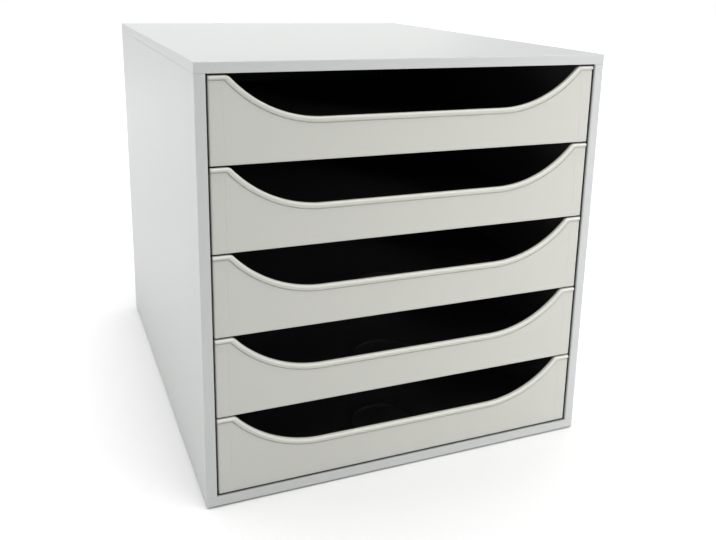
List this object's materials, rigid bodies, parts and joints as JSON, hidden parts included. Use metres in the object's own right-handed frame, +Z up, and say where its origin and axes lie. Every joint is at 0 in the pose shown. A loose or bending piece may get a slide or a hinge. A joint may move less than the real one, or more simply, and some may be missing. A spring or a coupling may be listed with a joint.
{
  "type": "desktop file drawer",
  "caption": "Desktop file drawer: a pale plastic casing of clipped panels on pads, with black sliding trays behind pale scooped fronts that have a rounded bead.",
  "frame": {"origin": "on the desk, under the middle of the casing's footprint", "axes": "+Z up, +Y to the back, +X to the right seen from the front; drawers open towards -Y"},
  "size_m": [0.285, 0.36, 0.29],
  "materials": {
    "casing": "satin, fine moulded surface",
    "front": "matte, fine grain",
    "tray": "satin black",
    "foot": "matte"
  },
  "bodies": {
    "casing": {"top_panel": "casing", "base_panel": "casing", "left_side_panel": "casing", "right_side_panel": "casing", "back_panel": "casing", "foot_front_left": "foot", "foot_front_right": "foot", "foot_rear_left": "foot", "foot_rear_right": "foot"},
    "drawer_1": {"drawer_1_tray": "tray", "drawer_1_front": "front"},
    "drawer_2": {"drawer_2_tray": "tray", "drawer_2_front": "front"},
    "drawer_3": {"drawer_3_tray": "tray", "drawer_3_front": "front"},
    "drawer_4": {"drawer_4_tray": "tray", "drawer_4_front": "front"},
    "drawer_5": {"drawer_5_tray": "tray", "drawer_5_front": "front"}
  },
  "joints": [
    {"name": "drawer_1_slide", "type": "slide", "parent": "casing", "child": "drawer_1", "axis": [0, -1, 0], "range_m": [0, 0.265]},
    {"name": "drawer_2_slide", "type": "slide", "parent": "casing", "child": "drawer_2", "axis": [0, -1, 0], "range_m": [0, 0.265]},
    {"name": "drawer_3_slide", "type": "slide", "parent": "casing", "child": "drawer_3", "axis": [0, -1, 0], "range_m": [0, 0.265]},
    {"name": "drawer_4_slide", "type": "slide", "parent": "casing", "child": "drawer_4", "axis": [0, -1, 0], "range_m": [0, 0.265]},
    {"name": "drawer_5_slide", "type": "slide", "parent": "casing", "child": "drawer_5", "axis": [0, -1, 0], "range_m": [0, 0.265]}
  ]
}
